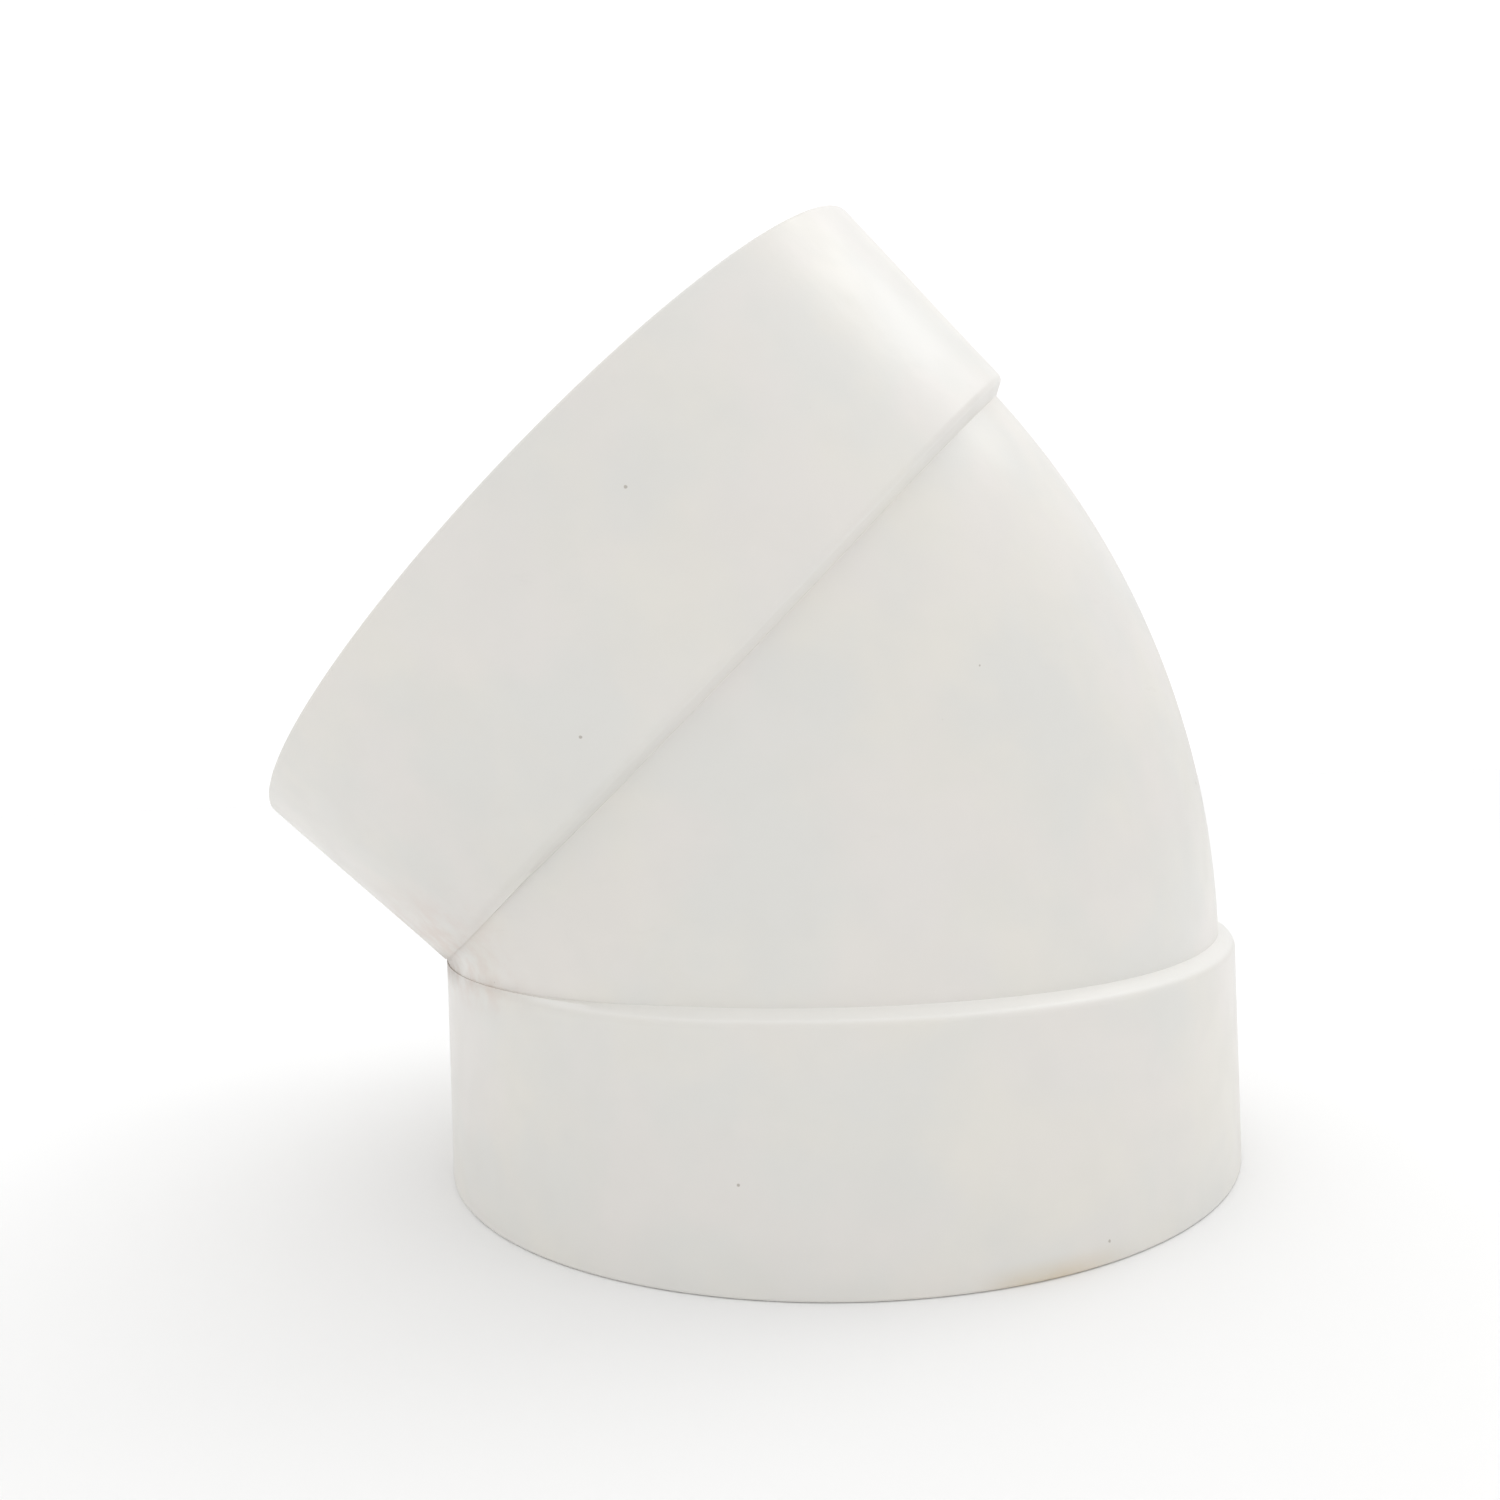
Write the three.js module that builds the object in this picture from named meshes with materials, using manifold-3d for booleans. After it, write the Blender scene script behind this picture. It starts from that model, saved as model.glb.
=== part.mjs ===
// A 45 degree drainage bend with a plain socket at each end, for solvent-cemented pipe.
// Three pieces: a bent tube with a short spigot at each end, and two collars cemented over the spigots.
// Millimetres, +Z up. The part stands on its lower mouth (z = 0). The bend lies in the XZ plane, and the
// upper mouth looks up and towards -X. The origin is under the middle of the part's outer box.

import * as THREE from 'three';
import { mergeVertices } from 'three/addons/utils/BufferGeometryUtils.js';
import Module from 'manifold-3d';

// Driving dimensions: the pipe, and what the fitting adds to it.
const PIPE_OUTER_DIAMETER = 250;
const WALL = 6.2;
const BEND_ANGLE = Math.PI / 4;
const SOCKET_DEPTH = 60; // mouth to pipe stop
const SPIGOT_LENGTH = 8; // how far the bend's end reaches into its collar
const SOCKET_CLEARANCE = 0.2; // pipe to socket, radial, at the pipe stop
const SOCKET_DRAFT = 0.5; // how much wider, radial, the socket is at its mouth
const BODY_STEP = 4.7; // how far a collar stands proud of the bend
const JOINT_GAP = 0.3; // cement line between a collar and the bend

// Edges of a collar.
const SHOULDER_ROUND = 2.8;
const MOUTH_ROUND = 0.9;
const LEAD_IN_DEPTH = 3;
const LEAD_IN_WIDTH = 1.2;

// Facets.
const SIDES = 64;
const BEND_STEPS = 10;
const ROUND_STEPS = 4;

// Derived sizes.
const socketRadius = PIPE_OUTER_DIAMETER / 2 + SOCKET_CLEARANCE;
const mouthRadius = socketRadius + SOCKET_DRAFT;
const collarRadius = socketRadius + WALL;
const collarLength = SOCKET_DEPTH + SPIGOT_LENGTH;
const bodyRadius = collarRadius - BODY_STEP;
const boreRadius = bodyRadius - WALL;
const spigotRadius = socketRadius - JOINT_GAP;
const bendRadius = collarRadius; // the two shoulders meet on the inside of the bend
const stepLength = (bendRadius * BEND_ANGLE) / BEND_STEPS;

const wasm = await Module();
wasm.setup();

// A closed geometry as a solid that can be joined and cut.
function solid(geometry) {
  geometry.deleteAttribute('normal');
  geometry.deleteAttribute('uv');
  const merged = mergeVertices(geometry);
  return new wasm.Manifold(
    new wasm.Mesh({
      numProp: 3,
      vertProperties: merged.attributes.position.array,
      triVerts: new Uint32Array(merged.index.array),
    }),
  );
}

function geometryOf(manifold) {
  const { vertProperties, triVerts } = manifold.getMesh();
  const geometry = new THREE.BufferGeometry();
  geometry.setAttribute('position', new THREE.BufferAttribute(vertProperties, 3));
  geometry.setIndex(new THREE.BufferAttribute(triVerts, 1));
  return geometry;
}

function piece(name, geometry, color) {
  const material = new THREE.MeshStandardMaterial({ color, roughness: 0.4, metalness: 0 });
  const mesh = new THREE.Mesh(geometry, material);
  mesh.name = name;
  return mesh;
}

// A round section, with facet corners on both of its axes.
function section(radius) {
  const corners = [];
  for (let i = 0; i < SIDES; i += 1) {
    const angle = (2 * Math.PI * i) / SIDES;
    corners.push(new THREE.Vector2(radius * Math.cos(angle), radius * Math.sin(angle)));
  }
  return new THREE.Shape(corners);
}

// The bend's centre line. It leaves the lower shoulder upwards and turns about the throat, a line along Y at
// x = -bendRadius. A straight run of whole steps can be added at both ends.
class BendLine extends THREE.Curve {
  constructor(straightSteps = 0) {
    super();
    this.straightSteps = straightSteps;
    this.steps = BEND_STEPS + 2 * straightSteps;
  }

  // Steps travelled from the lower shoulder, split into the turned and the straight share.
  travel(t) {
    const travelled = t * this.steps - this.straightSteps;
    const turned = THREE.MathUtils.clamp(travelled, 0, BEND_STEPS);
    return { angle: (turned / BEND_STEPS) * BEND_ANGLE, straight: (travelled - turned) * stepLength };
  }

  getTangent(t, target = new THREE.Vector3()) {
    const { angle } = this.travel(t);
    return target.set(-Math.sin(angle), 0, Math.cos(angle));
  }

  getPoint(t, target = new THREE.Vector3()) {
    const { angle, straight } = this.travel(t);
    const along = this.getTangent(t).multiplyScalar(straight);
    return target.set(bendRadius * (Math.cos(angle) - 1), 0, bendRadius * Math.sin(angle)).add(along);
  }

  getUtoTmapping(u) {
    return u; // t already runs evenly along the line
  }
}

function bentRod(radius, straightSteps) {
  const extrudePath = new BendLine(straightSteps);
  return new THREE.ExtrudeGeometry(section(radius), { steps: extrudePath.steps, extrudePath });
}

// A rod on the axis of one end of the bend, from inside the bend to the spigot's face.
function spigotRod() {
  const buried = stepLength / 4;
  const depth = SPIGOT_LENGTH + buried;
  const rod = new THREE.ExtrudeGeometry(section(spigotRadius), { depth, bevelEnabled: false });
  return rod.translate(0, 0, -SPIGOT_LENGTH);
}

// Moves what was drawn at the bend's lower end, axis on Z, to its upper end.
function atUpperEnd(geometry) {
  return geometry
    .rotateX(Math.PI)
    .translate(bendRadius, 0, 0)
    .rotateY(-BEND_ANGLE)
    .translate(-bendRadius, 0, 0);
}

// Bend body: the bent tube and its two spigots, with one bore through all of them.
function bendBody() {
  const outside = solid(bentRod(bodyRadius, 0))
    .add(solid(spigotRod()))
    .add(solid(atUpperEnd(spigotRod())));
  return geometryOf(outside.subtract(solid(bentRod(boreRadius, 1))));
}

// Points of a quarter round, from one angle to the next.
function quarterRound(centreRadius, centreHeight, round, from, to) {
  return Array.from({ length: ROUND_STEPS + 1 }, (_, i) => {
    const angle = from + ((to - from) * i) / ROUND_STEPS;
    const radius = centreRadius + round * Math.cos(angle);
    return new THREE.Vector2(radius, centreHeight + round * Math.sin(angle));
  });
}

// Socket collar, mouth down at z = 0. Its bore opens slightly towards the mouth and ends at the shoulder.
function collar() {
  const top = collarLength - JOINT_GAP;
  const quarter = Math.PI / 2;
  const profile = [
    new THREE.Vector2(mouthRadius + LEAD_IN_WIDTH, 0),
    ...quarterRound(collarRadius - MOUTH_ROUND, MOUTH_ROUND, MOUTH_ROUND, -quarter, 0),
    ...quarterRound(collarRadius - SHOULDER_ROUND, top - SHOULDER_ROUND, SHOULDER_ROUND, 0, quarter),
    new THREE.Vector2(socketRadius, top),
    new THREE.Vector2(socketRadius, SOCKET_DEPTH),
    new THREE.Vector2(mouthRadius, LEAD_IN_DEPTH),
  ];
  profile.push(profile[0].clone());
  return new THREE.LatheGeometry(profile, SIDES).rotateX(Math.PI / 2);
}

// Assembly: the lower collar stands on its mouth, and the bend starts at the collar's shoulder.
const elbow = new THREE.Group();

const lowerSocket = piece('lower_socket', collar(), 0xdcdad4);

const bend = piece('bend_body', bendBody(), 0xdad8d2);
bend.position.z = collarLength;

const upperEnd = new THREE.Group();
upperEnd.position.set(-bendRadius, 0, collarLength);
upperEnd.rotation.y = -BEND_ANGLE;
const upperSocket = piece('upper_socket', collar(), 0xdcdad4);
upperSocket.rotation.x = Math.PI;
upperSocket.position.set(bendRadius, 0, collarLength);
upperEnd.add(upperSocket);

elbow.add(lowerSocket, bend, upperEnd);

// The origin goes under the middle of the outer box.
elbow.updateMatrixWorld(true);
elbow.position.x = -new THREE.Box3().setFromObject(elbow, true).getCenter(new THREE.Vector3()).x;

export default elbow;
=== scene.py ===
import math

import bmesh
import bpy
from mathutils import Matrix, Vector, noise


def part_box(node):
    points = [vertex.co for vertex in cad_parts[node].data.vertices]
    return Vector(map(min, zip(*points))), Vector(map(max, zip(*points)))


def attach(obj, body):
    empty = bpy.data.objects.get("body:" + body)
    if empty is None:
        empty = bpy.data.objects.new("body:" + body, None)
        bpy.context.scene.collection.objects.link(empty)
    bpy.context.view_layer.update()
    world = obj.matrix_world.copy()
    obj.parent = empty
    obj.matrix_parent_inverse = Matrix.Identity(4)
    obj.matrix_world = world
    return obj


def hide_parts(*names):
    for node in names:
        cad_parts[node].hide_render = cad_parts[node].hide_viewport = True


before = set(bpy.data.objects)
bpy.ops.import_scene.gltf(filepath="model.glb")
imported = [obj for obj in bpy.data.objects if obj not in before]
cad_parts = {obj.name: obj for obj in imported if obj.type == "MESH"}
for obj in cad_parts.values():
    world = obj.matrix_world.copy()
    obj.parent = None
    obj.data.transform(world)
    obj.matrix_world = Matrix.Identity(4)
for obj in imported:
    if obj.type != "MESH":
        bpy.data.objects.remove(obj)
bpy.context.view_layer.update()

# Camera: stands in front of the elbow, a little round to the left of its bend, level with its middle and
# close enough for the near wall to look larger. It leans by under two degrees, as a hand-held one does.
camera_place = Vector((-0.060906, -0.371040, 0.124462))
camera_turn = math.radians(-11.2536)
camera_lean = math.radians(-1.7857)

lens = bpy.data.cameras.new("camera")
lens.lens = 25.69
lens.sensor_width = 36.0
lens.shift_x = -0.0341
lens.shift_y = 0.0137
lens.clip_start = 0.01
camera = bpy.data.objects.new("camera", lens)
camera.matrix_world = (
    Matrix.Translation(camera_place)
    @ Matrix.Rotation(camera_turn, 4, "Z")
    @ Matrix.Rotation(math.pi / 2, 4, "X")
    @ Matrix.Rotation(camera_lean, 4, "Z")
)
bpy.context.scene.collection.objects.link(camera)
bpy.context.scene.camera = camera

# Bend: the moulded middle of the elbow, a tube of rigid off-white PVC that turns through 45 degrees. Each end
# steps in to a short spigot, cemented inside its socket, whose square end is the stop for a pipe. In the
# throat, where the sockets touch, the wall is filled out almost flush with them.
BEND_ANGLE = math.radians(45)
SPIGOT_LENGTH = 0.0080
WALL = 0.0062
BODY_STEP = 0.0047
SPIGOT_RADIUS = 0.12515
THROAT_FILL = 0.0044
THROAT_SPREAD = (math.radians(26), math.radians(62))
SKIRT = 0.00005
THROAT_SKIRT = 0.0028
STOP_ROUND = 0.0006
AROUND = 256
TUBE_ROWS = 30
STOP_CUTS = 3
MERGE = 1e-6
SHARP_ABOVE = math.radians(32)
BEND_SINK = 0.00016
BEND_SWELLS = 0.055
SEAT_FADE = 0.006

socket_low, socket_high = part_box("lower_socket")
run_x = (socket_low.x + socket_high.x) / 2
socket_radius = (socket_high.x - socket_low.x) / 2
stop_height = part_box("bend_body")[0].z
seat_height = stop_height + SPIGOT_LENGTH
tube_radius = socket_radius - BODY_STEP
bore_radius = tube_radius - WALL
throat = Vector((run_x - socket_radius, 0, seat_height))
run_centre = Vector((run_x, 0, seat_height))
to_other_end = (
    Matrix.Translation(throat)
    @ Matrix.Rotation(math.pi, 4, Vector((math.cos(BEND_ANGLE / 2), 0, math.sin(BEND_ANGLE / 2))))
    @ Matrix.Translation(-throat)
)


def ring_at(bm, radius, height):
    """The edges of a loop that lies flat at that radius and height round the lower socket's centre line."""
    def lies(vert):
        reach = math.hypot(vert.co.x - run_x, vert.co.y)
        return abs(vert.co.z - height) < MERGE and abs(reach - radius) < MERGE
    return [e for e in bm.edges if lies(e.verts[0]) and lies(e.verts[1])]


def extrude_loop(bm, edges, drop=0.0):
    """Carries a loop on as a new band, downwards by drop, and returns the band's far loop."""
    made = bmesh.ops.extrude_edge_only(bm, edges=edges)["geom"]
    verts = [g for g in made if isinstance(g, bmesh.types.BMVert)]
    bmesh.ops.translate(bm, vec=(0, 0, -drop), verts=verts)
    return [g for g in made if isinstance(g, bmesh.types.BMEdge)]


def spun_tube(bm, radius, rows):
    """Half of the bend's turn, from the lower seat to the middle."""
    ring = bmesh.ops.create_circle(bm, segments=AROUND, radius=radius, matrix=Matrix.Translation(run_centre))
    edges = list({e for v in ring["verts"] for e in v.link_edges})
    bmesh.ops.spin(
        bm, geom=ring["verts"] + edges, cent=throat, axis=(0, -1, 0), angle=BEND_ANGLE / 2, steps=rows
    )


def throat_share(sideways, inwards):
    """1 in the throat and 0 well away from it, for a point of a section seen from its centre."""
    full, none = THROAT_SPREAD
    share = min(1, max(0, (none - math.atan2(abs(sideways), inwards)) / (none - full)))
    return share * share * (3 - 2 * share)


def draw_in(bm, depth, cell, start, normal_of):
    """The sinks of a cooling wall: moves the outside in by up to depth, in soft swells a cell across."""
    for vert in bm.verts:
        way = normal_of(vert)
        if way is not None:
            swell = 0.5 + 0.5 * noise.noise(vert.co / cell + start)
            finer = 0.5 + 0.5 * noise.noise(vert.co / cell * 2.3 - start)
            vert.co -= way * depth * (0.7 * swell + 0.3 * finer)


def finish_mesh(bm, name):
    """Makes the object: smooth faces, with the real corners kept crisp."""
    bmesh.ops.remove_doubles(bm, verts=bm.verts, dist=MERGE)
    bmesh.ops.recalc_face_normals(bm, faces=bm.faces)
    for face in bm.faces:
        face.smooth = True
    for edge in bm.edges:
        if len(edge.link_faces) == 2:
            edge.smooth = edge.calc_face_angle() < SHARP_ABOVE
    mesh = bpy.data.meshes.new(name)
    bm.to_mesh(mesh)
    bm.free()
    piece = bpy.data.objects.new(name, mesh)
    bpy.context.scene.collection.objects.link(piece)
    weighted = piece.modifiers.new("even_shading", "WEIGHTED_NORMAL")
    weighted.keep_sharp = True
    return piece


bm = bmesh.new()
spun_tube(bm, tube_radius, TUBE_ROWS)
foot = ring_at(bm, tube_radius, seat_height)
for vert in bm.verts:
    away, over = vert.co.x - throat.x, vert.co.z - throat.z
    reach = math.hypot(away, over)
    share = throat_share(vert.co.y, socket_radius - reach)
    swell = 1 + THROAT_FILL * share / tube_radius
    nearer = (socket_radius + (reach - socket_radius) * swell) / reach
    vert.co = (throat.x + away * nearer, vert.co.y * swell, throat.z + over * nearer)
skirt = extrude_loop(bm, foot)
for vert in {v for e in skirt for v in e.verts}:
    side = vert.co - run_centre
    vert.co.z -= SKIRT + THROAT_SKIRT * min(1, 4 * throat_share(side.y, -side.x))
loop = skirt
for radius, height in ((SPIGOT_RADIUS, None), (SPIGOT_RADIUS, stop_height), (bore_radius, stop_height)):
    loop = extrude_loop(bm, loop)
    for vert in {v for e in loop for v in e.verts}:
        side = Vector((vert.co.x - run_x, vert.co.y)).normalized() * radius
        vert.co = (run_x + side.x, side.y, vert.co.z if height is None else height)
spun_tube(bm, bore_radius, TUBE_ROWS)
extrude_loop(bm, ring_at(bm, bore_radius, seat_height), drop=SPIGOT_LENGTH)
bmesh.ops.remove_doubles(bm, verts=bm.verts, dist=MERGE)
bmesh.ops.recalc_face_normals(bm, faces=bm.faces)
bmesh.ops.bevel(
    bm, geom=ring_at(bm, bore_radius, stop_height), offset=STOP_ROUND, segments=STOP_CUTS, profile=0.5,
    affect="EDGES", material=-1,
)
copy = bmesh.ops.duplicate(bm, geom=bm.verts[:] + bm.edges[:] + bm.faces[:])["geom"]
bmesh.ops.transform(bm, matrix=to_other_end, verts=[g for g in copy if isinstance(g, bmesh.types.BMVert)])
bmesh.ops.remove_doubles(bm, verts=bm.verts, dist=MERGE)
bmesh.ops.recalc_face_normals(bm, faces=bm.faces)


def bend_outward(vert):
    """Which way is out on the bend's outside, faded away towards its two seats."""
    side = vert.co - throat
    reach = math.hypot(side.x, side.z)
    turn = math.atan2(side.z, side.x)
    section = Vector((reach - socket_radius, vert.co.y))
    if section.length < tube_radius - 1e-5 or not 0 < turn < BEND_ANGLE:
        return None
    height = min(reach * math.sin(turn), reach * math.sin(BEND_ANGLE - turn))
    out = Vector((math.cos(turn) * section.x, section.y, math.sin(turn) * section.x)).normalized()
    return out * min(1, height / SEAT_FADE)


draw_in(bm, BEND_SINK, BEND_SWELLS, Vector((3.1, 0.4, 7.7)), bend_outward)
bend_tube = finish_mesh(bm, "bend_tube")


class Socket:
    """One output of a material's node, on which ordinary arithmetic works."""

    def __init__(self, tree, link=None):
        self.tree, self.link = tree, link

    def node(self, kind, settings={}, inputs={}, output=None):
        """Adds a node: its settings first, then a value or a link for each socket, by name or number."""
        made = self.tree.nodes.new(kind)
        for name, value in settings.items():
            setattr(made, name, value)
        for name, value in inputs.items():
            if isinstance(name, int):
                socket = made.inputs[name]
            else:
                socket = next(s for s in made.inputs if s.enabled and s.name == name)
            if isinstance(value, Socket):
                self.tree.links.new(value.link, socket)
            else:
                socket.default_value = value
        ready = [s for s in made.outputs if s.enabled]
        return Socket(self.tree, next((s for s in ready if s.name == output), ready[0]))

    def math(self, operation, *values):
        return self.node("ShaderNodeMath", {"operation": operation}, dict(enumerate(values)))

    def __add__(self, other):
        return self.math("ADD", self, other)

    def __sub__(self, other):
        return self.math("SUBTRACT", self, other)

    def __rsub__(self, other):
        return self.math("SUBTRACT", other, self)

    def __mul__(self, other):
        return self.math("MULTIPLY", self, other)

    def __pow__(self, other):
        return self.math("POWER", self, other)

    def __abs__(self):
        return self.math("ABSOLUTE", self)

    __radd__, __rmul__ = __add__, __mul__

    def most(self, other):
        return self.math("MAXIMUM", self, other)

    def parts(self):
        """The three numbers of a place or a direction."""
        split = self.node("ShaderNodeSeparateXYZ", {}, {"Vector": self}).link.node
        return [Socket(self.tree, number) for number in split.outputs]

    def rise(self, low, high):
        """0 up to low and 1 from high on, smoothly between; falls instead where low is the larger."""
        return self.node(
            "ShaderNodeMapRange", {"interpolation_type": "SMOOTHSTEP"},
            {"Value": self, "From Min": low, "From Max": high, "To Min": 0.0, "To Max": 1.0},
        )

    def blotches(self, per_metre, detail=2.0, roughness=0.5, stretch=(1, 1, 1), shift=(0, 0, 0)):
        """Soft noise, from 0 to 1, over the place that this socket gives."""
        place = self.node("ShaderNodeMapping", {}, {"Vector": self, "Location": shift, "Scale": stretch})
        return self.node(
            "ShaderNodeTexNoise", {},
            {"Vector": place, "Scale": per_metre, "Detail": detail, "Roughness": roughness},
        )

    def tinted(self, mask, colour):
        """This colour, with another over it where the mask is 1."""
        return self.node("ShaderNodeMix", {"data_type": "RGBA"}, {"Factor": mask, "A": self, "B": colour})


PVC_COOL = (0.742, 0.735, 0.704, 1)
PVC_WARM = (0.778, 0.756, 0.705, 1)
PVC_BLUSH = (0.780, 0.748, 0.718, 1)
PVC_PATCH = (0.715, 0.702, 0.668, 1)
PVC_SCUFF = (0.60, 0.585, 0.555, 1)
FLECK_BROWN = (0.28, 0.23, 0.18, 1)
FLECKS_PER_METRE = 70.0
POLISH = 0.29
RIPPLE_DEPTH = 0.00012


def moulded_pvc(name, shift, marks=None):
    """Injection-moulded PVC that has been handled and stored: off-white with faint warm and cool clouds,
    sparse dark flecks, dull scuffs, a slightly rippled semi-gloss skin, and, where marks says, dirt and
    stains, painted shade in the creases and painted light on the shoulders."""
    material = bpy.data.materials.new(name)
    material.use_nodes = True
    tree = material.node_tree
    shader = tree.nodes["Principled BSDF"]
    shader.inputs["IOR"].default_value = 1.5
    shader.inputs["Specular IOR Level"].default_value = 0.45

    skin = Socket(tree)
    place = skin.node("ShaderNodeTexCoord", output="Object")
    where = skin.node("ShaderNodeMapping", {}, {"Vector": place, "Location": shift})

    clouds = where.blotches(22, detail=3, roughness=0.55).rise(0.36, 0.64)
    blush = where.blotches(30, detail=2, shift=(6, 2, 8)).rise(0.42, 0.66)
    patches = where.blotches(75, detail=2).rise(0.35, 0.7)
    colour = skin.node(
        "ShaderNodeMix", {"data_type": "RGBA"},
        {"Factor": clouds, "A": PVC_COOL, "B": PVC_WARM},
    )
    colour = colour.tinted(blush * 0.6, PVC_BLUSH)
    colour = colour.tinted(patches * 0.2, PVC_PATCH)

    cell = where.node(
        "ShaderNodeTexVoronoi", {"feature": "F1"},
        {"Vector": where, "Scale": FLECKS_PER_METRE, "Randomness": 1.0}, "Distance",
    )
    size = where.blotches(33, shift=(4, 9, 2)).rise(0.30, 0.62)
    ragged = where.blotches(1300, detail=2)
    flecks = (size * 0.052 - cell - 0.034 * ragged).rise(0.0, 0.014)
    colour = colour.tinted(flecks * 0.55, FLECK_BROWN)

    streaks = where.blotches(90, detail=4, roughness=0.7, stretch=(1.0, 0.25, 3.2)).rise(0.60, 0.78)
    rubbed = where.blotches(16, shift=(1, 5, 3)).rise(0.5, 0.7)
    scuffs = streaks * rubbed
    colour = colour.tinted(scuffs * 0.12, PVC_SCUFF)

    dirt = 0.0
    # Each mark tints the colour: dirt and stains, and also painted shade in the creases and painted light on
    # the shoulders; dirt adds up the roughness that each mark brings.
    if marks:
        for mask, tint, rough in marks(place):
            colour = colour.tinted(mask, tint)
            dirt = mask * rough + dirt

    peel = where.blotches(210, detail=2)
    grain = where.blotches(1700, detail=2)
    roughness = POLISH + 0.06 * patches + 0.04 * grain + 0.14 * scuffs + 0.2 * flecks + dirt
    relief = peel * 0.55 + grain * 0.08 - scuffs * 0.12
    bump = skin.node("ShaderNodeBump", {}, {"Strength": 0.6, "Distance": RIPPLE_DEPTH, "Height": relief})

    for plug, socket in (("Base Color", colour), ("Roughness", roughness), ("Normal", bump)):
        tree.links.new(socket.link, shader.inputs[plug])
    return material


CREASE_REACH = 0.0036
# Brown for the throat's dirt and for the painted shade along the creases; pink for a stain.
GRIME_AND_SHADE_BROWN = (0.36, 0.30, 0.26, 1)
GRIME_PINK = (0.62, 0.45, 0.38, 1)


def throat_grime_and_crease_shade(place):
    """Brown dirt gathered in the throat, where the two sockets meet, and a faint pink stain near it. Along
    both creases it runs out as a darker line that is partly dirt and partly painted shade. It goes by distance
    from the throat's line alone, so it reaches through the wall."""
    x, _, z = place.parts()
    away, over = x - throat.x, z - throat.z
    reach = (away * away + over * over) ** 0.5
    upper = over * math.cos(BEND_ANGLE) - away * math.sin(BEND_ANGLE)
    ragged = place.blotches(130, detail=3, roughness=0.55)
    near = reach.rise(0.044, 0.010)
    # Painted shade: the crease line darkens both creases near the throat, where the corner's shade falls, on
    # top of the dirt there.
    upper_crease = abs(upper).rise(CREASE_REACH, 0.0) * reach.rise(0.030, 0.010) * 0.7
    crease = abs(over).rise(CREASE_REACH, 0.0).most(upper_crease)
    line = near * crease * (0.45 + 0.7 * ragged)
    into = ((away - 0.0036) ** 2 + (over - 0.0014) ** 2) ** 0.5
    pocket = into.rise(0.0080, 0.0012) * (0.65 + 0.6 * ragged)
    stain = reach.rise(0.034, 0.012) * over.rise(-0.011, -0.001) * ragged.rise(0.34, 0.68)
    return [
        (stain * 0.30, GRIME_PINK, 0.1),
        ((line * 0.38).most(pocket) * 0.50, GRIME_AND_SHADE_BROWN, 0.25),
    ]


bend_tube.data.materials.append(moulded_pvc("bend_pvc", (0, 0, 0), throat_grime_and_crease_shade))
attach(bend_tube, "root")
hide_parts("bend_body")

# Lower socket: the plain collar on the upright end, of the same PVC, that a pipe is pushed up into and
# cemented. It is thicker outside than the bend, with a sloping shoulder that climbs the bend's outer side, a
# softened rim and a bore that is drawn in slightly towards the stop, with a lead-in to start the pipe.
MOUTH_BORE = 0.1257
ROOT_BORE = 0.1252
LEAD_DEPTH = 0.0030
LEAD_WIDTH = 0.0012
SHOULDER_DROP = 0.0026
SHOULDER_ROUND = 0.0016
SEAT_LAP = 0.00002
TUCK = 0.0005
OUTER_RISE = 0.0035
OUTER_SPREAD = math.radians(75)
RIM_ROUND = 0.0009
LEAD_ROUND = 0.0005
WALL_ROWS = 14
COLLAR_SINK = 0.00014
COLLAR_SWELLS = 0.05
SHOULDER_FADE = 0.008
RISE_OVER = 0.004
# A lighter white painted on the shoulders' slope as painted light from above.
SHOULDER_PAINTED_LIGHT = (0.845, 0.835, 0.805, 1)
RIM_TAN = (0.60, 0.45, 0.23, 1)

slope = SHOULDER_DROP / BODY_STEP
shoulder_foot = seat_height + SEAT_LAP - SHOULDER_DROP
tucked_radius = tube_radius - TUCK
tucked_height = seat_height + SEAT_LAP + TUCK * slope


def turned_collar(bm):
    """Spins the collar's section round the upright centre line, then rounds its corners."""
    lead_bore = MOUTH_BORE - (MOUTH_BORE - ROOT_BORE) * LEAD_DEPTH / stop_height
    section = (
        (MOUTH_BORE + LEAD_WIDTH, 0), (socket_radius, 0), (socket_radius, shoulder_foot),
        (tucked_radius, tucked_height), (ROOT_BORE, tucked_height), (ROOT_BORE, stop_height),
        (lead_bore, LEAD_DEPTH),
    )
    verts = [bm.verts.new((run_x + radius, 0, height)) for radius, height in section]
    edges = [bm.edges.new((a, b)) for a, b in zip(verts, verts[1:] + verts[:1])]
    bmesh.ops.subdivide_edges(bm, edges=[edges[1], edges[5]], cuts=WALL_ROWS - 1)
    bmesh.ops.subdivide_edges(bm, edges=[edges[2]], cuts=1)
    bmesh.ops.spin(
        bm, geom=bm.verts[:] + bm.edges[:], cent=run_centre, axis=(0, 0, 1), angle=2 * math.pi,
        steps=AROUND, use_merge=True,
    )
    for radius, height, size, segments in (
        (socket_radius, shoulder_foot, SHOULDER_ROUND, 6),
        (socket_radius, 0, RIM_ROUND, 4),
        (MOUTH_BORE + LEAD_WIDTH, 0, LEAD_ROUND, 3),
        (lead_bore, LEAD_DEPTH, LEAD_ROUND, 3),
    ):
        bmesh.ops.bevel(
            bm, geom=ring_at(bm, radius, height), offset=size, segments=segments, profile=0.5,
            affect="EDGES", material=-1,
        )


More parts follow.
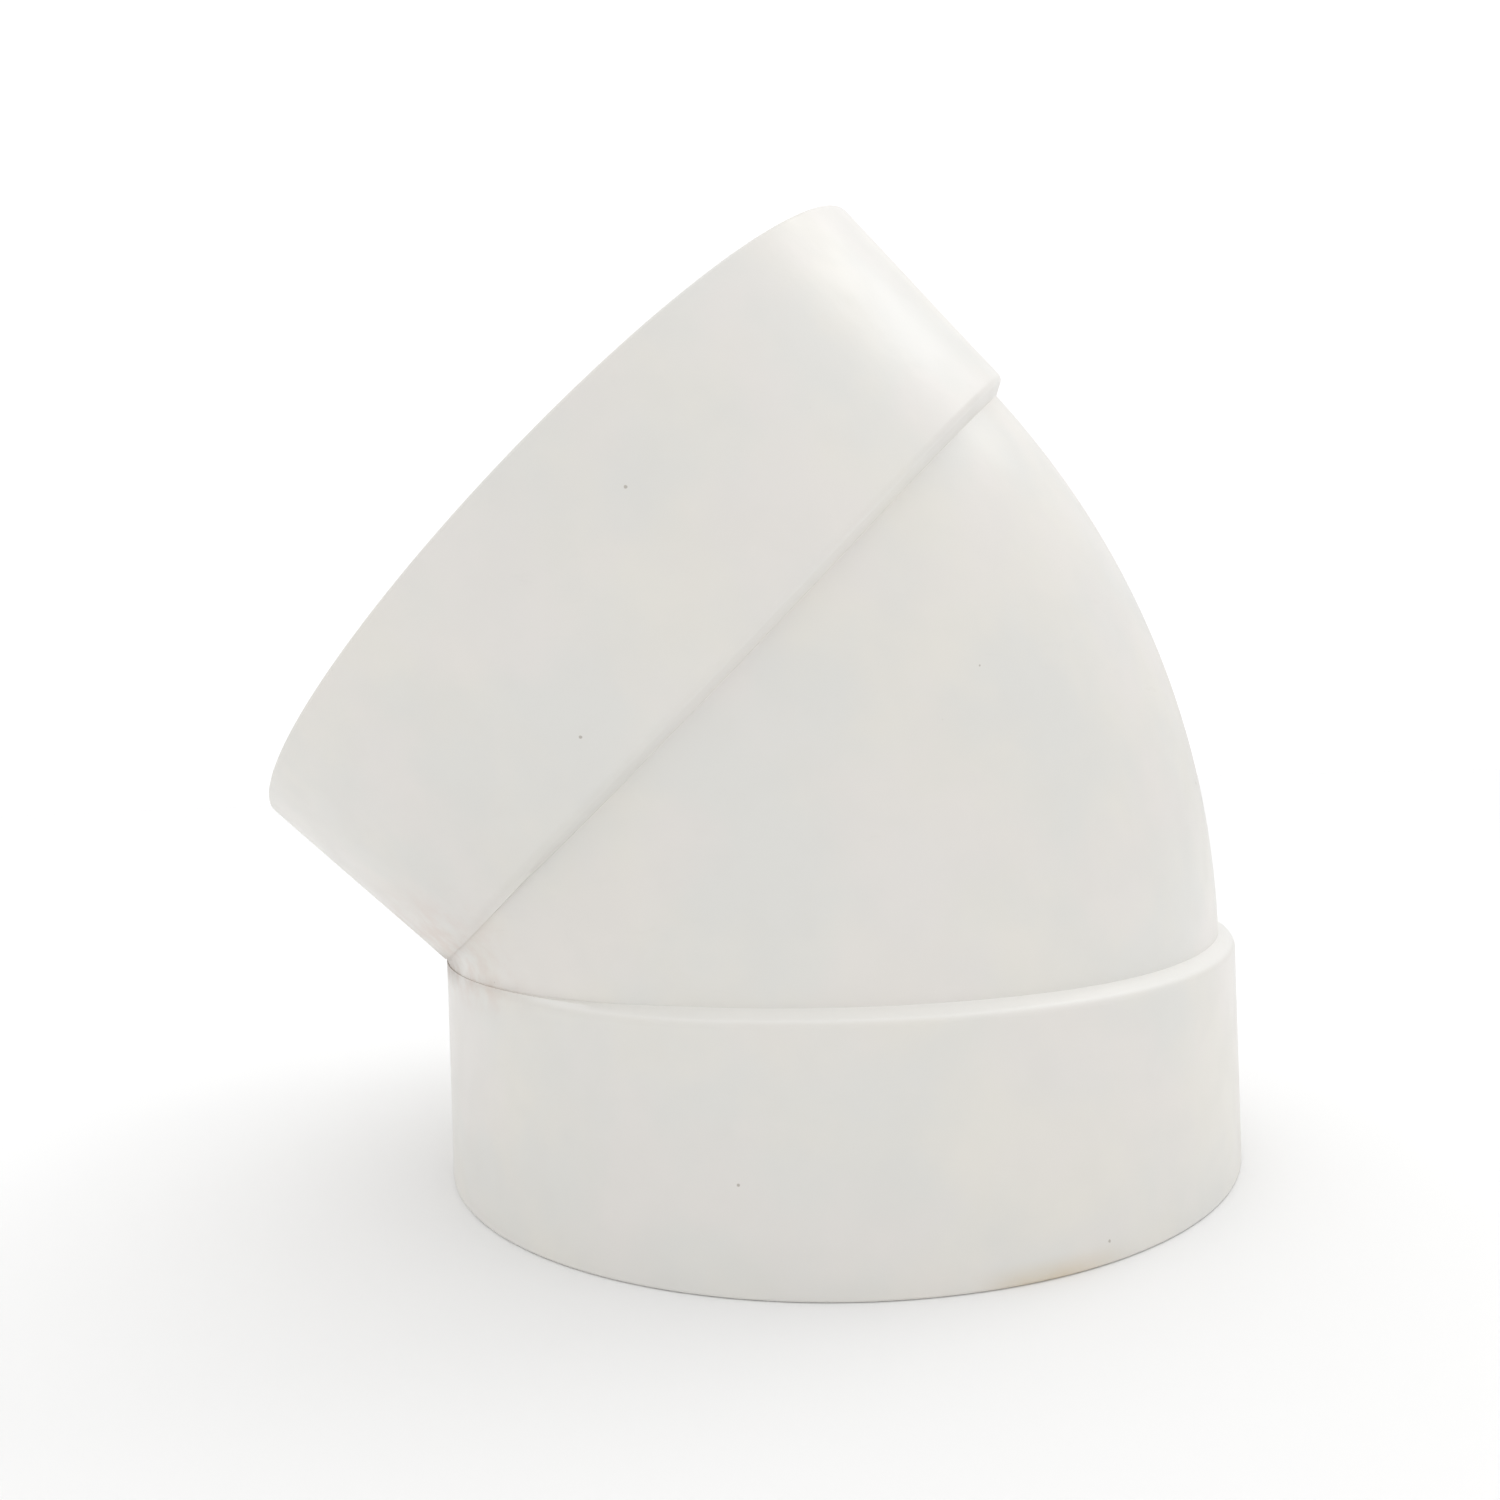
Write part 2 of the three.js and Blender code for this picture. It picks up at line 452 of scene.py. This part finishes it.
def shape_shoulder(bm):
    """Squares the shoulder off in the throat, where the two sockets touch, and lifts it on the outer side."""
    wide, tall = socket_radius - tucked_radius, tucked_height - shoulder_foot
    for vert in bm.verts:
        side = Vector((vert.co.x - run_x, vert.co.y))
        out, up = (side.length - tucked_radius) / wide, (vert.co.z - shoulder_foot) / tall
        if out > -1e-4 and vert.co.z > shoulder_foot - SHOULDER_ROUND - 1e-5:
            share = throat_share(side.y, -side.x)
            square = 1 / max(out, up)
            out *= 1 + (square - 1) * share
            up *= 1 + (square * SHOULDER_DROP / tall - 1) * share
            side *= (tucked_radius + out * wide) / side.length
            vert.co = (run_x + side.x, side.y, shoulder_foot + up * tall)
        from_outer = min(1, math.atan2(abs(side.y), side.x) / OUTER_SPREAD)
        climb = min(1, max(0, (vert.co.z - stop_height) / RISE_OVER))
        vert.co.z += OUTER_RISE * climb * (0.5 + 0.5 * math.cos(math.pi * from_outer))


def collar_outward(vert):
    """Which way is out on a collar's outer wall, faded away towards its shoulder."""
    side = Vector((vert.co.x - run_x, vert.co.y, 0))
    if side.length < socket_radius - RIM_ROUND or vert.co.z > shoulder_foot:
        return None
    return side.normalized() * min(1, (shoulder_foot - vert.co.z) / SHOULDER_FADE)


bm = bmesh.new()
turned_collar(bm)
draw_in(bm, COLLAR_SINK, COLLAR_SWELLS, Vector((8.3, 2.9, 1.2)), collar_outward)
shape_shoulder(bm)
lower_collar = finish_mesh(bm, "lower_socket_collar")


def painted_light_shoulder(radius, height, strength):
    """The shoulder's slope, painted lighter than the walls as light from above would make it, and a little
    shinier.
    """
    # Painted light: the lighter colour on the slope stands in for the light from above, strongest on the lower
    # socket.
    mask = radius.rise(socket_radius - 0.0002, socket_radius - 0.0010) * height.rise(
        stop_height + 0.001, stop_height + 0.004
    )
    return (mask * strength, SHOULDER_PAINTED_LIGHT, -0.03)


def lower_collar_marks(place):
    """The shoulder's painted light, the throat's dirt and painted crease shade, and a tan stain on the front
    of the rim on the floor.
    """
    x, y, z = place.parts()
    from_axis = ((x - run_x) ** 2 + y ** 2) ** 0.5
    ragged = place.blotches(120, detail=3, roughness=0.55, stretch=(0.6, 0.6, 1.3))
    front = x.rise(0.021, 0.041) * x.rise(0.074, 0.046) * y.rise(-0.05, -0.09)
    stain = front * z.rise(0.0065, 0.0) * (0.35 + 0.9 * ragged)
    rim_stain = (stain * 0.52, RIM_TAN, 0.2)
    return [painted_light_shoulder(from_axis, z, 0.75)] + throat_grime_and_crease_shade(place) + [rim_stain]


lower_collar.data.materials.append(moulded_pvc("lower_socket_pvc", (5, 3, 1), lower_collar_marks))
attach(lower_collar, "root")
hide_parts("lower_socket")

# Upper socket: the same collar on the other end, whose mouth faces up and back at 45 degrees. It is made
# upright, like the lower one, and then carried to its own end of the bend.
bm = bmesh.new()
turned_collar(bm)
draw_in(bm, COLLAR_SINK, COLLAR_SWELLS, Vector((1.7, 6.1, 4.4)), collar_outward)
shape_shoulder(bm)
bmesh.ops.transform(bm, matrix=to_other_end, verts=bm.verts)
upper_collar = finish_mesh(bm, "upper_socket_collar")


def upper_collar_marks(place):
    """The shoulder's painted light and the throat's dirt and painted crease shade, with the place turned to
    the lower end for the shoulder.
    """
    x, y, z = place.parts()
    away, over = x - throat.x, z - throat.z
    along = away * math.cos(BEND_ANGLE) + over * math.sin(BEND_ANGLE) - socket_radius
    height = away * math.sin(BEND_ANGLE) - over * math.cos(BEND_ANGLE) + seat_height
    return [painted_light_shoulder((along ** 2 + y ** 2) ** 0.5, height, 0.3)] + throat_grime_and_crease_shade(place)


upper_collar.data.materials.append(moulded_pvc("upper_socket_pvc", (2, 7, 4), upper_collar_marks))
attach(upper_collar, "root")
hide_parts("upper_socket")

# Floor: a wide plain round sheet of matt white board, which the elbow stands on. It lies a hair below the
# rim, so that the two don't share a plane.
BOARD_RADIUS = 8.0
BOARD_DROP = 0.00002
BOARD_WHITE = (0.89, 0.89, 0.89, 1)

bm = bmesh.new()
bmesh.ops.create_circle(
    bm, cap_ends=True, segments=96, radius=BOARD_RADIUS, matrix=Matrix.Translation((0, 0, -BOARD_DROP))
)
floor_mesh = bpy.data.meshes.new("floor")
bm.to_mesh(floor_mesh)
bm.free()
floor = bpy.data.objects.new("floor", floor_mesh)
bpy.context.scene.collection.objects.link(floor)
board = bpy.data.materials.new("white_board")
board.use_nodes = True
board_shader = board.node_tree.nodes["Principled BSDF"]
board_shader.inputs["Base Color"].default_value = BOARD_WHITE
board_shader.inputs["Roughness"].default_value = 0.9
board_shader.inputs["Specular IOR Level"].default_value = 0.1
floor_mesh.materials.append(board)

# Light: a white room, brightest overhead and a little darker in front of the elbow than behind it, and one
# soft window high up on the right, which draws the bright band along the upper socket.
ROOM_LEVEL = 0.725
ROOM_OVERHEAD = 0.61
ROOM_BEHIND = 0.10
ROOM_SEEN = 1.1
WINDOW_DISTANCE = 1.3
WINDOW_AIM = Vector((0.0, 0.0, 0.16))

room = bpy.data.worlds.new("white_room")
room.use_nodes = True
sky = Socket(room.node_tree)
_, backwards, upwards = sky.node("ShaderNodeTexCoord", {}, {}, "Generated").parts()
glow = ROOM_LEVEL + ROOM_OVERHEAD * upwards.most(0.0) + ROOM_BEHIND * backwards
seen = sky.node("ShaderNodeLightPath", {}, {}, "Is Camera Ray")
strength = glow + (ROOM_SEEN - glow) * seen
background = room.node_tree.nodes["Background"]
background.inputs["Color"].default_value = (1.0, 1.0, 1.0, 1)
room.node_tree.links.new(strength.link, background.inputs["Strength"])
bpy.context.scene.world = room

window_way = Vector((0.61, 0.10, 0.78)).normalized()
lamp = bpy.data.lights.new("soft_window", "AREA")
lamp.shape = "DISK"
lamp.size = 0.6
lamp.energy = 1.4
soft_window = bpy.data.objects.new("soft_window", lamp)
soft_window.location = WINDOW_AIM + window_way * WINDOW_DISTANCE
soft_window.rotation_mode = "QUATERNION"
soft_window.rotation_quaternion = window_way.to_track_quat("Z", "Y")
bpy.context.scene.collection.objects.link(soft_window)

bpy.context.scene.view_settings.view_transform = "Standard"
